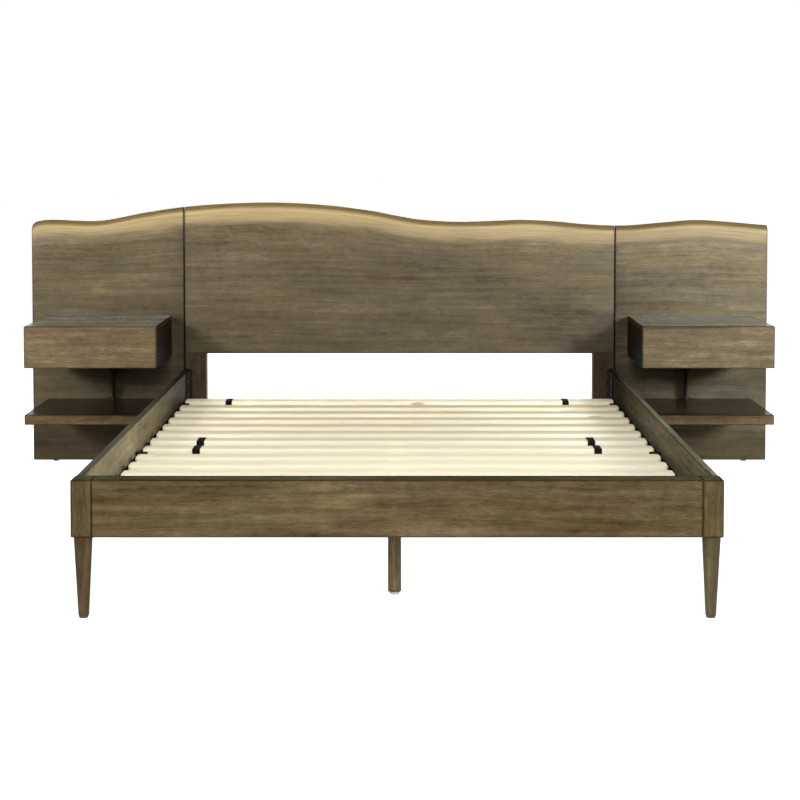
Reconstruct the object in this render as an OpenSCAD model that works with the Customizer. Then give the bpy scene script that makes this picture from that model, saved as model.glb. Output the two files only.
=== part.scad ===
// Bed with a live-edge headboard, two drawer boxes and two shelves carried by the headboard's wings.
// +X runs to the right seen from the foot end, +Y towards the headboard, +Z up from the floor.

/* [Bed frame] */
// Width over the foot posts
frame_w = 1600; // [1400:10:2000]
// Length from the front of the foot posts to the front of the headboard
frame_l = 2100; // [2050:10:2200]
// Height of the rails' top edge above the floor
rail_top = 347; // [320:1:400]
// Height of a rail from edge to edge
rail_h = 142; // [130:1:160]
// Thickness of a side rail
rail_t = 20; // [18:1:28]
// How far a side rail stands in from the foot post's outer face
rail_inset = 3; // [1:0.5:6]
// Chamfer that takes the sharpness off the frame's boards
edge_ease = 2; // [0.5:0.5:3]

/* [Foot end] */
// Width of a foot post, seen from the front
post_w = 51; // [44:1:70]
// Depth of a foot post, front to back
post_d = 58; // [50:1:70]
// How far the foot rail stands behind the posts' front faces
foot_rail_inset = 1.5; // [0.5:0.5:4]
// Diameter of a turned leg at its top
leg_top_d = 46.5; // [40:0.5:50]
// Diameter of a turned leg at its foot
leg_bottom_d = 26; // [24:0.5:36]
// Height of the plastic glides under everything that stands on the floor
glide_h = 5; // [3:1:8]

/* [Slats] */
// Width of a slat
slat_w = 64; // [50:1:80]
// Thickness of a slat
slat_t = 18; // [15:1:24]
// Distance between the front edges of two slats in the roll at the foot
foot_pitch = 123; // [110:1:130]
// Distance between the front edges of two slats in the roll at the head
head_pitch = 132; // [115:1:135]
// Number of slats in the roll at the foot
foot_slat_count = 7; // [3:1:7]
// Number of slats in the roll at the head
head_slat_count = 7; // [3:1:7]
// Front edge of the foot roll's first slat, from the posts' front faces
foot_roll_start = 97; // [85:1:110]
// Free space between the two rolls
roll_gap = 73; // [60:1:85]
// Gap between a slat's end and the side rail
slat_end_gap = 19; // [5:1:25]
// Radius of a slat's long edges
slat_round = 4; // [2:0.5:6]
// Radius of a slat's corners, seen from above
slat_corner_r = 10; // [4:1:20]
// Width of the webbing that joins the slats of a roll
strap_w = 23; // [20:1:40]
// Thickness of the webbing
strap_t = 1.5; // [1:0.5:2]
// Distance between the two straps of a roll
strap_spacing = 1190; // [900:10:1250]
// Width of the ledgers that carry the slats
ledger_w = 35; // [28:1:45]
// Height of the ledgers
ledger_h = 30; // [24:1:36]
// Height of the black stops in front of each roll's last slat
stop_h = 11; // [6:0.5:14]
// Height of the slats' top faces above the floor
slat_top = 270; // [262:1:280]

/* [Centre support] */
// Sideways place of the centre beam
beam_x = -8; // [-20:1:20]
// Width of the centre beam and of its legs
beam_w = 34; // [30:1:50]
// Height of the centre beam
beam_h = 45; // [35:1:50]
// Distance from the posts' front faces to the front support leg
front_support_y = 249; // [220:1:320]
// Height of a leveller's foot when it is screwed home
leveller_h = 9; // [6:1:14]
// Diameter of a leveller's foot
leveller_d = 26; // [22:1:34]

/* [Headboard] */
// Height of the live edge at its highest point
crown_z = 963; // [950:1:1050]
// Thickness of the headboard's panels
panel_t = 30; // [25:1:38]
// Height of the centre panel's bottom edge
panel_bottom = 403; // [390:1:430]
// Gap between the centre panel and a wing
seam_gap = 3; // [2:0.5:5]
// Width of a headboard leg
head_leg_w = 77; // [60:1:90]
// Depth of a headboard leg below the centre panel
head_leg_d = 60; // [55:1:80]
// Height of the headboard legs' tongues and of the wings' stiles
tongue_top = 800; // [700:5:820]
// Height of the bevel along the live edge
bevel_h = 15; // [8:1:20]
// Depth of the bevel along the live edge
bevel_d = 12; // [6:1:16]
// Width of a wing's stile
stile_w = 45; // [40:1:60]
// Room between the inner stile and the nightstand
inner_stile_room = 4; // [3:0.5:20]
// Room between the nightstand and the outer stile
outer_stile_room = 9.5; // [3:0.5:20]
// How far a wing reaches past its outer stile
wing_overhang = 2; // [1:0.5:20]

/* [Nightstands] */
// Width of a drawer box and of its shelf
stand_w = 460; // [440:5:480]
// Depth of a drawer box and of its shelf
stand_d = 390; // [360:5:420]
// Height of the drawer box's bottom face
box_bottom = 398; // [380:1:420]
// Height of the drawer box
box_h = 146; // [135:1:180]
// Thickness of the drawer box's boards
case_t = 18; // [15:1:22]
// Thickness of the drawer box's back
case_back_t = 12; // [8:1:16]
// Thickness of the drawer's front
front_t = 20; // [16:1:24]
// Thickness of the drawer's sides
drawer_t = 12; // [10:1:15]
// Height of the drawer's sides
drawer_h = 85; // [70:1:90]
// Length of the drawer behind its front
drawer_l = 336; // [300:1:350]
// Thickness of the drawer's bottom
drawer_floor_t = 5; // [4:1:8]
// Gap between the drawer's front and the case
front_gap = 2; // [1.5:0.5:4]
// Space that a runner takes between the case and the drawer
runner_w = 12.7; // [12.5:0.1:14]
// Height of a runner
runner_h = 45; // [35:1:50]
// Thickness of the runners' steel
runner_steel = 1.2; // [1:0.1:1.5]
// Thickness of the shelf
shelf_t = 35; // [25:1:45]
// Height of the shelf's bottom face
shelf_bottom = 200; // [180:1:210]
// Thickness of the steel hanger between box and shelf
hanger_t = 5; // [4:0.5:8]
// Depth of the hanger at its top
hanger_top_d = 100; // [80:1:140]
// Depth of the hanger at the shelf
hanger_low_d = 45; // [35:1:60]

/* [Fits] */
// Radial clearance of a bolt, screw or dowel in its hole
bolt_clear = 0.25; // [0.1:0.05:0.5]
// Clearance between a runner's members
slide_clear = 0.3; // [0.2:0.05:0.5]
// Clearance of a board in its groove, and of a plate in its recess
groove_clear = 0.2; // [0.1:0.05:0.5]

/* [Hidden] */
$fn = 48;

// Colours
grey_oak = [0.55, 0.50, 0.40];
slab_wood = [0.58, 0.50, 0.38];
pine = [0.95, 0.88, 0.74];
black_steel = [0.10, 0.10, 0.11];
bright_steel = [0.75, 0.76, 0.78];
white_nylon = [0.94, 0.94, 0.92];
webbing = [0.07, 0.07, 0.07];

// Places along Y, with the posts' front faces at 0 until everything moves to the middle
post_back = post_d;
head_front = frame_l;
head_mid = head_front + panel_t;
head_back = head_front + head_leg_d;
y_shift = -head_back / 2;

// Places on the right-hand side; the left is its mirror image
post_out = frame_w / 2;
post_in = post_out - post_w;
post_mid = post_out - post_w / 2;
rail_out = post_out - rail_inset;
rail_in = rail_out - rail_t;
rail_bottom = rail_top - rail_h;
ledger_in = rail_in - ledger_w;
ledger_top = slat_top - slat_t;
head_leg_in = rail_out - head_leg_w;
head_leg_mid = rail_out - head_leg_w / 2;
seam_offset = 1;
seam_x = rail_out + seam_offset;
panel_edge = seam_x - seam_gap / 2;
wing_in = seam_x + seam_gap / 2;
stand_in = rail_out + stile_w + inner_stile_room;
stand_out = stand_in + stand_w;
stand_x = (stand_in + stand_out) / 2;
outer_stile_x = stand_out + outer_stile_room;
wing_out = outer_stile_x + stile_w + wing_overhang;
wing_glide_inset = 80;

// Live edge: share of half the width, and drop below the crown
edge_points = [[-1, 83], [-0.987, 70], [-0.947, 64], [-0.844, 69], [-0.794, 64], [-0.696, 38],
    [-0.598, 18], [-0.468, 4], [-0.337, 0], [-0.205, 9], [-0.075, 31], [0, 51], [0.056, 63],
    [0.153, 71], [0.252, 68], [0.333, 64], [0.415, 69], [0.513, 81], [0.611, 85], [0.709, 75],
    [0.807, 65], [0.905, 73], [0.97, 81], [1, 84]];
edge_step = 20;
edge_back_ease = 2;

// Screws, bolts, dowels and studs
bolt_d = 6;
bolt_head_d = 14;
bolt_head_h = 4;
bolt_pocket = 5;
bolt_grip = 20;
screw_d = 4.5;
screw_head_d = 9;
screw_head_h = 2.5;
screw_grip = 12;
dowel_d = 10;
dowel_l = 50;
dowel_inset = 35;
stud_d = 8;
stud_l = 50;
joint_bolt_grip = 40;

// Heights of the headboard's bolts
panel_bolt_rise = 77;
panel_bolt_drop = 60;
leg_panel_z = [panel_bottom + panel_bolt_rise, tongue_top - panel_bolt_drop];
stile_bolt_low = 110;
stile_bolt_rise = 10;
stile_bolt_drop = 140;
leg_stile_z = [stile_bolt_low, panel_bottom + stile_bolt_rise, tongue_top - stile_bolt_drop];
wing_bolt_low = 150;
wing_bolt_rise = 60;
wing_bolt_drop = 30;
stile_wing_z = [wing_bolt_low, panel_bottom + wing_bolt_rise, tongue_top - wing_bolt_drop];
batten_x = 260;
batten_w = 60;
batten_t = 22;
batten_rise = 37;
batten_overlap = 30;
batten_bolt_inset = 30;
batten_bottom = panel_bottom + batten_rise;
batten_top = tongue_top + batten_overlap;
batten_z = [batten_bottom + batten_bolt_inset, (batten_bottom + batten_top) / 2,
    batten_top - batten_bolt_inset];
head_leg_glide_d = 30;
glide_inset = 4;
glide_rim = 1.5;

// Corner fittings
corner_t = 3;
corner_cheek = 3;
corner_rise = 4;
corner_drop = 0.5;
corner_bottom = ledger_top + corner_rise;
corner_top = rail_top - corner_drop;
corner_x = rail_in + corner_cheek;
corner_rail_l = 90;
corner_foot_l = 83;
corner_screw_inset = 22;
corner_z = [corner_bottom + corner_screw_inset, corner_top - corner_screw_inset];
corner_pin_d = 5;
corner_pin_l = 14;
corner_pin_cover = 1.5;
corner_pin_first = 30;
corner_pin_step = 42;
corner_rail_y = [post_back + corner_pin_first, post_back + corner_pin_first + corner_pin_step];
corner_post_inset = 14;
corner_foot_inset = 34;
corner_foot_x = [post_in + corner_post_inset, post_in - corner_foot_inset];
hook_t = 5;
hook_plate_l = 135;
hook_rise = 8;
hook_drop = 4;
hook_bottom = rail_bottom + hook_rise;
hook_top = rail_top - hook_drop;
hook_reach = 16;
hook_lip = 6;
hook_h = 22;
hook_first = 37;
hook_step = 50;
hook_z = [hook_bottom + hook_first, hook_bottom + hook_first + hook_step];
hook_screw_inset = 17;
hook_screw_end = 14;
hook_screw_rise = 62;
hook_screw_drop = 33;
hook_screw_y = [head_front - hook_plate_l + hook_screw_inset, head_front - hook_screw_end];
hook_screw_z = [rail_bottom + hook_screw_rise, rail_top - hook_screw_drop];

// Ledgers and their screws
ledger_front_gap = 6;
ledger_back_gap = 5;
ledger_start = post_back + ledger_front_gap;
ledger_end = head_front - hook_plate_l - ledger_back_gap;
ledger_screw_count = 6;
ledger_screw_margin = 60;
ledger_z = ledger_top - ledger_h / 2;

// Slats and straps
slat_l = 2 * (rail_in - slat_end_gap);
foot_roll_shift = [0, 0, 0, 0, 0, 0, 12];
head_roll_shift = [0, -2, -3, -1, -1, 4, 18];
foot_slat_y = [for (i = [0 : foot_slat_count - 1]) foot_roll_start + i * foot_pitch + foot_roll_shift[i]];
head_roll_start = foot_slat_y[foot_slat_count - 1] + slat_w + roll_gap;
head_slat_y = [for (i = [0 : head_slat_count - 1]) head_roll_start + i * head_pitch + head_roll_shift[i]];
foot_strap_shift = -4;
head_strap_shift = -8;
stop_d = 8;
stop_gap = 0.3;
stop_peg_d = 6;
stop_peg_l = 10;
stop_slat_y = [foot_slat_y[foot_slat_count - 1], head_slat_y[head_slat_count - 1]];

// Centre support
beam_bottom = ledger_top - beam_h;
beam_short = 4;
support_inset = 35;
beam_end = head_slat_y[head_slat_count - 1] + slat_w - beam_short;
support_y = [front_support_y, (front_support_y + beam_end) / 2, beam_end - support_inset];
support_ease = 4;
saddle_t = 3;
saddle_l = 40;
saddle_screw_drop = 5;
leveller_stud_l = 34;
leveller_bore_end = 3;

// Nightstands
box_top = box_bottom + box_h;
stand_front = head_front - stand_d;
drawer_back = stand_front + front_t;
case_front = drawer_back + front_gap;
case_inner_in = stand_in + case_t;
case_inner_h = box_h - 2 * case_t;
case_back_front = head_front - case_back_t;
drawer_in = case_inner_in + runner_w;
drawer_w = stand_w - 2 * case_t - 2 * runner_w;
drawer_rise = 8;
drawer_floor_rise = 10;
drawer_bottom = box_bottom + case_t + drawer_rise;
drawer_floor_z = drawer_bottom + drawer_floor_rise;
drawer_end = drawer_back + drawer_l;
groove_d = 6;
finger_bevel = 9;
runner_z = drawer_bottom + drawer_h / 2;
runner_front_gap = 6;
runner_short = 4;
runner_start = case_front + runner_front_gap;
runner_l = drawer_l - runner_short;
runner_end_gap = 5;
runner_lip = 10.5;
shelf_top = shelf_bottom + shelf_t;
hanger_offset = 20;
hanger_x = stand_x - hanger_offset;
hanger_flange_t = 4;
hanger_flange_w = 35;
hanger_foot_d = 12;
case_bolt_rise = 45;
case_bolt_drop = 40;
case_bolt_z = [box_bottom + case_bolt_rise, box_top - case_bolt_drop];
shelf_bolt_inset = 45;
shelf_bolt_x = [stand_in + shelf_bolt_inset, stand_x, stand_out - shelf_bolt_inset];
case_bolt_x = [stand_in + case_t / 2, stand_out - case_t / 2];
case_bolt_grip = 35;
shelf_bolt_grip = 45;
hanger_screw_first = 30;
hanger_screw_last = 25;
hanger_screw_y = [head_front - hanger_top_d + hanger_screw_first, head_front - hanger_screw_last];
hanger_screw_x = hanger_x + hanger_t + (hanger_flange_w - hanger_t) / 2;

// ---- shared shapes ----

module both_sides() {
    children();
    mirror([1, 0, 0]) children();
}

module on_side(side) {
    if (side < 0) mirror([1, 0, 0]) children();
    else children();
}

// Draws its children for both sides of a nightstand's middle
module stand_pair() {
    children();
    translate([2 * stand_x, 0, 0]) mirror([1, 0, 0]) children();
}

module eased_rect(w, h, ease) {
    polygon([[ease, 0], [w - ease, 0], [w, ease], [w, h - ease],
        [w - ease, h], [ease, h], [0, h - ease], [0, ease]]);
}

// Box with its low corner at a place and all its edges chamfered
module board(at, size, ease = edge_ease) {
    translate(at) intersection() {
        linear_extrude(size.z) eased_rect(size.x, size.y, ease);
        rotate([90, 0, 90]) linear_extrude(size.x) eased_rect(size.y, size.z, ease);
        translate([0, size.y, 0]) rotate([90, 0, 0])
            linear_extrude(size.y) eased_rect(size.x, size.z, ease);
    }
}

module rounded_rect(w, h, r) {
    translate([r, 0]) square([w - 2 * r, h]);
    translate([0, r]) square([w, h - 2 * r]);
    for (x = [r, w - r], y = [r, h - r]) translate([x, y]) circle(r);
}

function turned(way) = way == "+x" ? [0, 90, 0] : way == "-x" ? [0, -90, 0]
    : way == "+y" ? [-90, 0, 0] : way == "-y" ? [90, 0, 0] : way == "-z" ? [180, 0, 0] : [0, 0, 0];

// Bolt or screw whose head's underside is at a place, with its shank pointing a given way
module bolt(at, way, d, shank, head_d, head_h) {
    translate(at) rotate(turned(way)) rotate_extrude()
        polygon([[0, -head_h], [head_d / 2 - 1, -head_h], [head_d / 2, 1 - head_h], [head_d / 2, 0],
            [d / 2, 0], [d / 2, shank], [0, shank]]);
}

// Hole for a bolt's shank
module bolt_hole(at, way, d, shank) {
    translate(at) rotate(turned(way)) translate([0, 0, -0.5])
        cylinder(r = d / 2 + bolt_clear, h = shank + bolt_clear + 0.5);
}

// Round pocket that sinks a bolt's head
module head_pocket(at, way) {
    translate(at) rotate(turned(way)) translate([0, 0, -bolt_pocket - 1])
        cylinder(r = bolt_head_d / 2 + bolt_clear, h = bolt_pocket + 1);
}

// ---- headboard ----

function edge_segment(u, i = 0) =
    i >= len(edge_points) - 2 || u < edge_points[i + 1][0] ? i : edge_segment(u, i + 1);

function edge_slope(i) =
    let(a = edge_points[max(i - 1, 0)], b = edge_points[min(i + 1, len(edge_points) - 1)])
    (b[1] - a[1]) / (b[0] - a[0]);

// Height of the live edge at x, by a cubic through the edge's points
function edge_z(x) =
    let(u = x / wing_out, i = edge_segment(u), a = edge_points[i], b = edge_points[i + 1],
        w = b[0] - a[0], t = (u - a[0]) / w)
    crown_z - ((2 * t ^ 3 - 3 * t ^ 2 + 1) * a[1] + (t ^ 3 - 2 * t ^ 2 + t) * w * edge_slope(i)
        + (3 * t ^ 2 - 2 * t ^ 3) * b[1] + (t ^ 3 - t ^ 2) * w * edge_slope(i + 1));

function edge_section(x, bottom) =
    let(top = edge_z(x))
    [[x, head_front, bottom], [x, head_mid, bottom], [x, head_mid, top - edge_back_ease],
        [x, head_mid - edge_back_ease, top], [x, head_front + bevel_d, top],
        [x, head_front, top - bevel_h]];

// Upright slab from x0 to x1 whose top follows the live edge
module live_edge_slab(x0, x1, bottom) {
    count = ceil((x1 - x0) / edge_step);
    sides = 6;
    points = [for (i = [0 : count]) each edge_section(x0 + (x1 - x0) * i / count, bottom)];
    last = count * sides;
    faces = [[for (k = [0 : sides - 1]) k],
        [for (k = [sides - 1 : -1 : 0]) last + k],
        for (i = [0 : count - 1], k = [0 : sides - 1])
            let(a = i * sides + k, b = i * sides + (k + 1) % sides)
            each [[a, a + sides, b + sides], [a, b + sides, b]]];
    polyhedron(points, faces, convexity = 4);
}

module centre_panel() {
    color(slab_wood) difference() {
        live_edge_slab(-panel_edge, panel_edge, panel_bottom);
        both_sides() {
            leg_panel_holes();
            batten_holes();
        }
    }
}

module wing(side) {
    x0 = side > 0 ? wing_in : -wing_out;
    x1 = side > 0 ? wing_out : -wing_in;
    color(slab_wood) difference() {
        live_edge_slab(x0, x1, glide_h);
        on_side(side) {
            stile_wing_holes();
            stand_bolt_holes();
        }
    }
}

module leg_panel_bolts() {
    for (z = leg_panel_z)
        bolt([head_leg_mid, head_back - bolt_pocket, z], "-y", bolt_d,
            head_leg_d - panel_t - bolt_pocket + bolt_grip, bolt_head_d, bolt_head_h);
}

module leg_panel_holes() {
    for (z = leg_panel_z) {
        bolt_hole([head_leg_mid, head_back - bolt_pocket, z], "-y", bolt_d,
            head_leg_d - panel_t - bolt_pocket + bolt_grip);
        head_pocket([head_leg_mid, head_back - bolt_pocket, z], "-y");
    }
}

module leg_stile_bolts() {
    for (z = leg_stile_z)
        bolt([rail_out + stile_w - bolt_pocket, (head_mid + head_back) / 2, z], "-x", bolt_d,
            stile_w - bolt_pocket + joint_bolt_grip, bolt_head_d, bolt_head_h);
}

module leg_stile_holes() {
    for (z = leg_stile_z) {
        bolt_hole([rail_out + stile_w - bolt_pocket, (head_mid + head_back) / 2, z], "-x", bolt_d,
            stile_w - bolt_pocket + joint_bolt_grip);
        head_pocket([rail_out + stile_w - bolt_pocket, (head_mid + head_back) / 2, z], "-x");
    }
}

module stile_wing_bolts() {
    for (x = [rail_out + stile_w / 2, outer_stile_x + stile_w / 2], z = stile_wing_z)
        bolt([x, head_back - bolt_pocket, z], "-y", bolt_d,
            head_leg_d - panel_t - bolt_pocket + bolt_grip, bolt_head_d, bolt_head_h);
}

module stile_wing_holes() {
    for (x = [rail_out + stile_w / 2, outer_stile_x + stile_w / 2], z = stile_wing_z) {
        bolt_hole([x, head_back - bolt_pocket, z], "-y", bolt_d,
            head_leg_d - panel_t - bolt_pocket + bolt_grip);
        head_pocket([x, head_back - bolt_pocket, z], "-y");
    }
}

module batten_bolts() {
    for (z = batten_z)
        bolt([batten_x, head_mid + batten_t, z], "-y", bolt_d, batten_t + bolt_grip,
            bolt_head_d, bolt_head_h);
}

module batten_holes() {
    for (z = batten_z) bolt_hole([batten_x, head_mid + batten_t, z], "-y", bolt_d, batten_t + bolt_grip);
}

module headboard_leg() {
    color(grey_oak) difference() {
        board([head_leg_in, head_front, glide_h], [head_leg_w, head_leg_d, tongue_top - glide_h]);
        translate([head_leg_in - 1, head_front - 1, panel_bottom])
            cube([head_leg_w + 2, panel_t + 1, tongue_top]);
        leg_panel_holes();
        leg_stile_holes();
        for (z = hook_z)
            translate([rail_in - hook_t - groove_clear, head_front - 1, z - hook_lip - groove_clear])
                cube([hook_t + 2 * groove_clear, hook_reach + 3, hook_h + hook_lip + 2 * groove_clear]);
    }
}

module wing_stiles() {
    color(grey_oak) both_sides() difference() {
        for (x = [rail_out, outer_stile_x])
            board([x, head_mid, glide_h], [stile_w, head_leg_d - panel_t, tongue_top - glide_h]);
        leg_stile_holes();
        stile_wing_holes();
    }
}

module panel_battens() {
    color(grey_oak) both_sides() difference() {
        board([batten_x - batten_w / 2, head_mid, batten_bottom],
            [batten_w, batten_t, batten_top - batten_bottom]);
        batten_holes();
    }
}

module headboard_bolts() {
    color(black_steel) both_sides() {
        leg_panel_bolts();
        leg_stile_bolts();
        stile_wing_bolts();
        batten_bolts();
    }
}

module glide(x, y, d) {
    translate([x, y, 0]) rotate_extrude()
        polygon([[0, 0], [d / 2 - 1, 0], [d / 2, 1], [d / 2, glide_h], [0, glide_h]]);
}

module floor_glides() {
    color(black_steel) both_sides() {
        glide(head_leg_mid, head_front + head_leg_d / 2, head_leg_glide_d);
        for (x = [wing_in + wing_glide_inset, wing_out - wing_glide_inset])
            glide(x, head_front + panel_t / 2, panel_t - 2 * glide_inset);
        glide(post_mid, post_d / 2, leg_bottom_d - 2 * glide_rim);
    }
}

// ---- foot end ----

module rail_dowel_places() {
    for (z = [rail_bottom + dowel_inset, rail_top - dowel_inset])
        translate([post_in - dowel_l / 2, (foot_rail_inset + post_d) / 2, z]) rotate([0, 90, 0])
            children();
}

module foot_rail() {
    color(grey_oak) difference() {
        board([-post_in, foot_rail_inset, rail_bottom], [2 * post_in, post_d - foot_rail_inset, rail_h]);
        both_sides() {
            rail_dowel_places() translate([0, 0, -bolt_clear])
                cylinder(r = dowel_d / 2 + bolt_clear, h = dowel_l);
            corner_foot_holes();
        }
        saddle_holes();
    }
}

module foot_post() {
    color(grey_oak) difference() {
        board([post_in, 0, rail_bottom], [post_w, post_d, rail_h]);
        rail_dowel_places() cylinder(r = dowel_d / 2 + bolt_clear, h = dowel_l + bolt_clear);
        foot_stud_place() cylinder(r = stud_d / 2 + bolt_clear, h = stud_l + bolt_clear);
        corner_foot_holes();
    }
}

module foot_stud_place() {
    translate([post_mid, post_d / 2, rail_bottom - stud_l / 2]) children();
}

module foot_leg() {
    color(grey_oak) difference() {
        translate([post_mid, post_d / 2, 0]) rotate_extrude()
            polygon([[0, glide_h], [leg_bottom_d / 2 - 1, glide_h], [leg_bottom_d / 2, glide_h + 1],
                [leg_top_d / 2, rail_bottom - 1], [leg_top_d / 2 - 1, rail_bottom], [0, rail_bottom]]);
        foot_stud_place() translate([0, 0, -bolt_clear])
            cylinder(r = stud_d / 2 + bolt_clear, h = stud_l);
    }
}

module support_stud_place(y) {
    translate([beam_x, y, beam_bottom - stud_l / 2]) children();
}

module dowels_and_studs() {
    color(pine) both_sides() rail_dowel_places() cylinder(d = dowel_d, h = dowel_l);
    color(bright_steel) {
        both_sides() foot_stud_place() cylinder(d = stud_d, h = stud_l);
        for (y = support_y) support_stud_place(y) cylinder(d = stud_d, h = stud_l);
    }
}

// ---- side rails, ledgers and corner fittings ----

module ledger_screw_places() {
    span = ledger_end - ledger_start - 2 * ledger_screw_margin;
    for (i = [0 : ledger_screw_count - 1])
        translate([ledger_in, ledger_start + ledger_screw_margin
            + span * i / (ledger_screw_count - 1), ledger_z]) children();
}

module ledger_screws() {
    color(bright_steel) both_sides() ledger_screw_places()
        bolt([0, 0, 0], "+x", screw_d, ledger_w + screw_grip, screw_head_d, screw_head_h);
}

module ledger_screw_holes() {
    ledger_screw_places() bolt_hole([0, 0, 0], "+x", screw_d, ledger_w + screw_grip);
}

// Cross pins that lock the fitting's plate in the rail's kerf; their holes stop short of the inner face
module corner_pin_places() {
    for (y = corner_rail_y, z = corner_z)
        translate([rail_in + corner_pin_cover, y, z]) rotate([0, 90, 0]) children();
}

module corner_pins() {
    corner_pin_places() cylinder(d = corner_pin_d, h = corner_pin_l);
}

module corner_pin_holes() {
    corner_pin_places() cylinder(r = corner_pin_d / 2 + bolt_clear, h = corner_pin_l + bolt_clear);
}

module corner_foot_screws() {
    for (x = corner_foot_x, z = corner_z)
        bolt([x, post_back + corner_t, z], "-y", screw_d, corner_t + 2 * screw_grip,
            screw_head_d, screw_head_h);
}

module corner_foot_holes() {
    for (x = corner_foot_x, z = corner_z)
        bolt_hole([x, post_back + corner_t, z], "-y", screw_d, corner_t + 2 * screw_grip);
}

module hook_screws() {
    for (y = hook_screw_y, z = hook_screw_z)
        bolt([rail_in - hook_t, y, z], "+x", screw_d, hook_t + screw_grip, screw_head_d, screw_head_h);
}

module hook_holes() {
    for (y = hook_screw_y, z = hook_screw_z)
        bolt_hole([rail_in - hook_t, y, z], "+x", screw_d, hook_t + screw_grip);
}

module side_rail() {
    color(grey_oak) difference() {
        board([rail_in, post_back, rail_bottom], [rail_t, head_front - post_back, rail_h]);
        translate([corner_x - groove_clear, post_back - 1, corner_bottom - groove_clear])
            cube([corner_t + 2 * groove_clear, corner_rail_l + 1 + groove_clear, rail_h]);
        translate([rail_in - 1, post_back - 1, corner_bottom - groove_clear])
            cube([corner_cheek + 1, corner_t + 1 + groove_clear, rail_h]);
        corner_pin_holes();
        hook_holes();
        ledger_screw_holes();
    }
}

module ledger() {
    color(grey_oak) difference() {
        board([ledger_in, ledger_start, ledger_top - ledger_h],
            [ledger_w, ledger_end - ledger_start, ledger_h], 1);
        ledger_screw_holes();
        stop_peg_places() translate([0, 0, -stop_peg_l - bolt_clear])
            cylinder(r = stop_peg_d / 2 + bolt_clear, h = stop_peg_l + bolt_clear + 1);
    }
}

module foot_corner_brackets() {
    color(black_steel) both_sides() difference() {
        union() {
            translate([corner_x, post_back, corner_bottom])
                cube([corner_t, corner_rail_l, corner_top - corner_bottom]);
            translate([corner_x + corner_t - corner_foot_l, post_back, corner_bottom])
                cube([corner_foot_l, corner_t, corner_top - corner_bottom]);
        }
        corner_pin_holes();
        corner_foot_holes();
    }
}

module head_hook_plates() {
    color(black_steel) both_sides() difference() {
        union() {
            translate([rail_in - hook_t, head_front - hook_plate_l, hook_bottom])
                cube([hook_t, hook_plate_l, hook_top - hook_bottom]);
            for (z = hook_z) {
                translate([rail_in - hook_t, head_front - 1, z]) cube([hook_t, hook_reach + 1, hook_h]);
                translate([rail_in - hook_t, head_front + hook_reach / 2, z - hook_lip])
                    cube([hook_t, hook_reach / 2, hook_lip + 1]);
            }
        }
        hook_holes();
    }
}

module bracket_screws() {
    color(bright_steel) {
        both_sides() {
            corner_pins();
            corner_foot_screws();
            hook_screws();
        }
        saddle_screws();
    }
}

// ---- centre support ----

module beam_hanger() {
    color(black_steel) difference() {
        union() {
            translate([beam_x - beam_w / 2 - saddle_l / 2, post_back, beam_bottom - saddle_t])
                cube([beam_w + saddle_l, saddle_t, beam_h]);
            translate([beam_x - beam_w / 2, post_back, beam_bottom - saddle_t])
                cube([beam_w, saddle_l, saddle_t]);
        }
        saddle_holes();
    }
}

module saddle_screws() {
    for (side = [-1, 1])
        bolt([beam_x + side * (beam_w / 2 + saddle_l / 4), post_back + saddle_t, ledger_z - saddle_screw_drop], "-y",
            screw_d, saddle_t + 2 * screw_grip, screw_head_d, screw_head_h);
}

module saddle_holes() {
    for (side = [-1, 1])
        bolt_hole([beam_x + side * (beam_w / 2 + saddle_l / 4), post_back + saddle_t, ledger_z - saddle_screw_drop], "-y",
            screw_d, saddle_t + 2 * screw_grip);
}

module centre_beam() {
    color(pine) difference() {
        board([beam_x - beam_w / 2, post_back + saddle_t, beam_bottom],
            [beam_w, beam_end - post_back - saddle_t, beam_h], 1);
        for (y = support_y) support_stud_place(y)
            cylinder(r = stud_d / 2 + bolt_clear, h = stud_l + bolt_clear);
    }
}

module support_leg(y) {
    difference() {
        board([beam_x - beam_w / 2, y - beam_w / 2, leveller_h],
            [beam_w, beam_w, beam_bottom - leveller_h], support_ease / 2);
        support_stud_place(y) translate([0, 0, -bolt_clear])
            cylinder(r = stud_d / 2 + bolt_clear, h = stud_l);
        translate([beam_x, y, leveller_h - 1])
            cylinder(r = stud_d / 2 + bolt_clear, h = leveller_stud_l + leveller_bore_end);
    }
}

module support_legs() {
    color(grey_oak) for (y = support_y) support_leg(y);
}

module leveller(y) {
    color(white_nylon) translate([beam_x, y, 0]) rotate_extrude()
        polygon([[0, 0], [leveller_d / 2 - 2, 0], [leveller_d / 2, 2], [leveller_d / 2, leveller_h - 2],
            [leveller_d / 2 - 2, leveller_h], [stud_d / 2, leveller_h],
            [stud_d / 2, leveller_h + leveller_stud_l], [0, leveller_h + leveller_stud_l]]);
}

// ---- slats ----

module slat(y) {
    translate([-slat_l / 2, y, ledger_top]) intersection() {
        rotate([90, 0, 90]) linear_extrude(slat_l) rounded_rect(slat_w, slat_t, slat_round);
        linear_extrude(slat_t) rounded_rect(slat_l, slat_w, slat_corner_r);
    }
}

module slat_roll(places) {
    color(pine) for (y = places) slat(y);
}

// Webbing loop round one slat
module strap_loop(y) {
    difference() {
        translate([0, y - strap_t, ledger_top - strap_t])
            cube([strap_w, slat_w + 2 * strap_t, slat_t + 2 * strap_t]);
        translate([-1, y, ledger_top]) cube([strap_w + 2, slat_w, slat_t]);
    }
}

module roll_strap(x, first_y, last_y) {
    translate([x - strap_w / 2, 0, 0]) {
        translate([0, first_y, ledger_top - strap_t]) cube([strap_w, last_y - first_y + slat_w, strap_t]);
        strap_loop(first_y);
        strap_loop(last_y);
    }
}

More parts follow.
